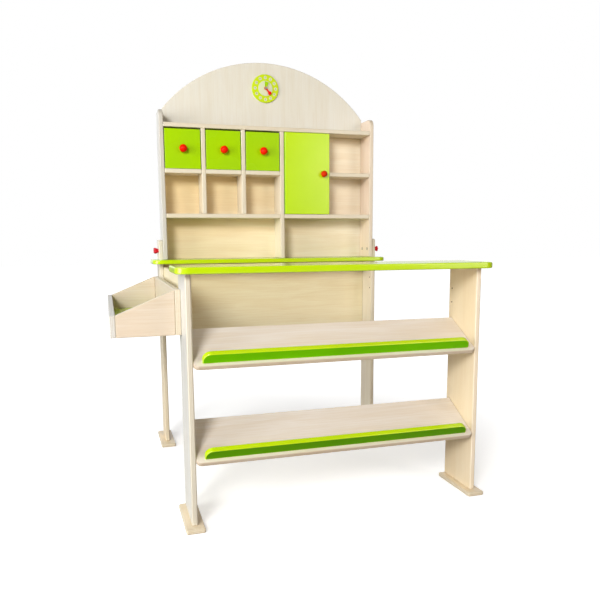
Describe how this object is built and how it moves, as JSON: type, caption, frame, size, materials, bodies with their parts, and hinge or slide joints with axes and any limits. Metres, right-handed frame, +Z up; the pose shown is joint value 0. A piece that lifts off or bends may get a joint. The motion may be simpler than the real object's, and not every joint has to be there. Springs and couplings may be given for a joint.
{
  "type": "toy market stall",
  "caption": "Free-standing wooden toy shop: a drawered hutch with an arched top on a rear counter, a front counter with sloping display shelves, and a bin on one side.",
  "frame": {"origin": "middle of the footprint, on the floor", "axes": "+X to the right seen from the customer's side, +Y from the front counter to the hutch, +Z up"},
  "size_m": [0.829, 0.7376, 1.114],
  "materials": {
    "birch": "clear satin lacquer",
    "thin_plywood": "clear satin lacquer",
    "lime_lacquer": "gloss lime-green lacquer",
    "red_lacquer": "gloss red lacquer",
    "steel": "zinc plated"
  },
  "bodies": {
    "stall": {"rear_leg_left": "birch", "rear_leg_right": "birch", "rear_foot_left": "birch", "rear_foot_right": "birch", "front_leg_left": "birch", "front_leg_right": "birch", "front_foot_left": "birch", "front_foot_right": "birch", "rear_counter": "lime_lacquer", "front_counter": "lime_lacquer", "lower_back_panel": "birch", "connecting_panel": "birch", "display_shelf_upper": "birch", "display_shelf_lower": "birch", "shelf_lip_upper": "lime_lacquer", "shelf_lip_lower": "lime_lacquer", "bin_back_board": "birch", "bin_outer_board": "birch", "bin_sides": "birch", "bin_floor": "lime_lacquer", "hutch_side_left": "birch", "hutch_side_right": "birch", "top_shelf": "birch", "drawer_shelves": "birch", "bottom_shelf_left": "birch", "bottom_shelf_right": "birch", "drawer_divider_left": "birch", "drawer_divider_right": "birch", "centre_divider": "birch", "door_divider": "birch", "side_shelf": "birch", "hutch_back": "thin_plywood", "arch_panel": "birch", "clock_ring": "lime_lacquer", "clock_face": "birch", "clock_pin": "steel", "thumb_screws": "red_lacquer", "threaded_inserts": "steel", "wood_screws": "steel", "dowels": "birch"},
    "drawer_1": {"drawer_1_front": "lime_lacquer", "drawer_1_sides": "birch", "drawer_1_back": "birch", "drawer_1_bottom": "thin_plywood", "drawer_1_knob": "red_lacquer"},
    "drawer_2": {"drawer_2_front": "lime_lacquer", "drawer_2_sides": "birch", "drawer_2_back": "birch", "drawer_2_bottom": "thin_plywood", "drawer_2_knob": "red_lacquer"},
    "drawer_3": {"drawer_3_front": "lime_lacquer", "drawer_3_sides": "birch", "drawer_3_back": "birch", "drawer_3_bottom": "thin_plywood", "drawer_3_knob": "red_lacquer"},
    "door": {"door_panel": "lime_lacquer", "door_knob": "red_lacquer", "door_pins": "birch"},
    "hour_hand": {"hour_hand": "lime_lacquer"},
    "minute_hand": {"minute_hand": "red_lacquer"}
  },
  "joints": [
    {"name": "drawer_1_slide", "type": "slide", "parent": "stall", "child": "drawer_1", "axis": [0, -1, 0], "range_m": [0, 0.055]},
    {"name": "drawer_2_slide", "type": "slide", "parent": "stall", "child": "drawer_2", "axis": [0, -1, 0], "range_m": [0, 0.055]},
    {"name": "drawer_3_slide", "type": "slide", "parent": "stall", "child": "drawer_3", "axis": [0, -1, 0], "range_m": [0, 0.055]},
    {"name": "door_hinge", "type": "hinge", "parent": "stall", "child": "door", "pos_m": [0.1063, 0.25625, 0.7905], "axis": [0, 0, -1], "range_deg": [0, 95]},
    {"name": "hour_hand_turn", "type": "hinge", "parent": "stall", "child": "hour_hand", "pos_m": [0.0625, 0.31425, 1.041], "axis": [0, 1, 0], "continuous": true},
    {"name": "minute_hand_turn", "type": "hinge", "parent": "stall", "child": "minute_hand", "pos_m": [0.0625, 0.31425, 1.041], "axis": [0, 1, 0], "continuous": true}
  ]
}
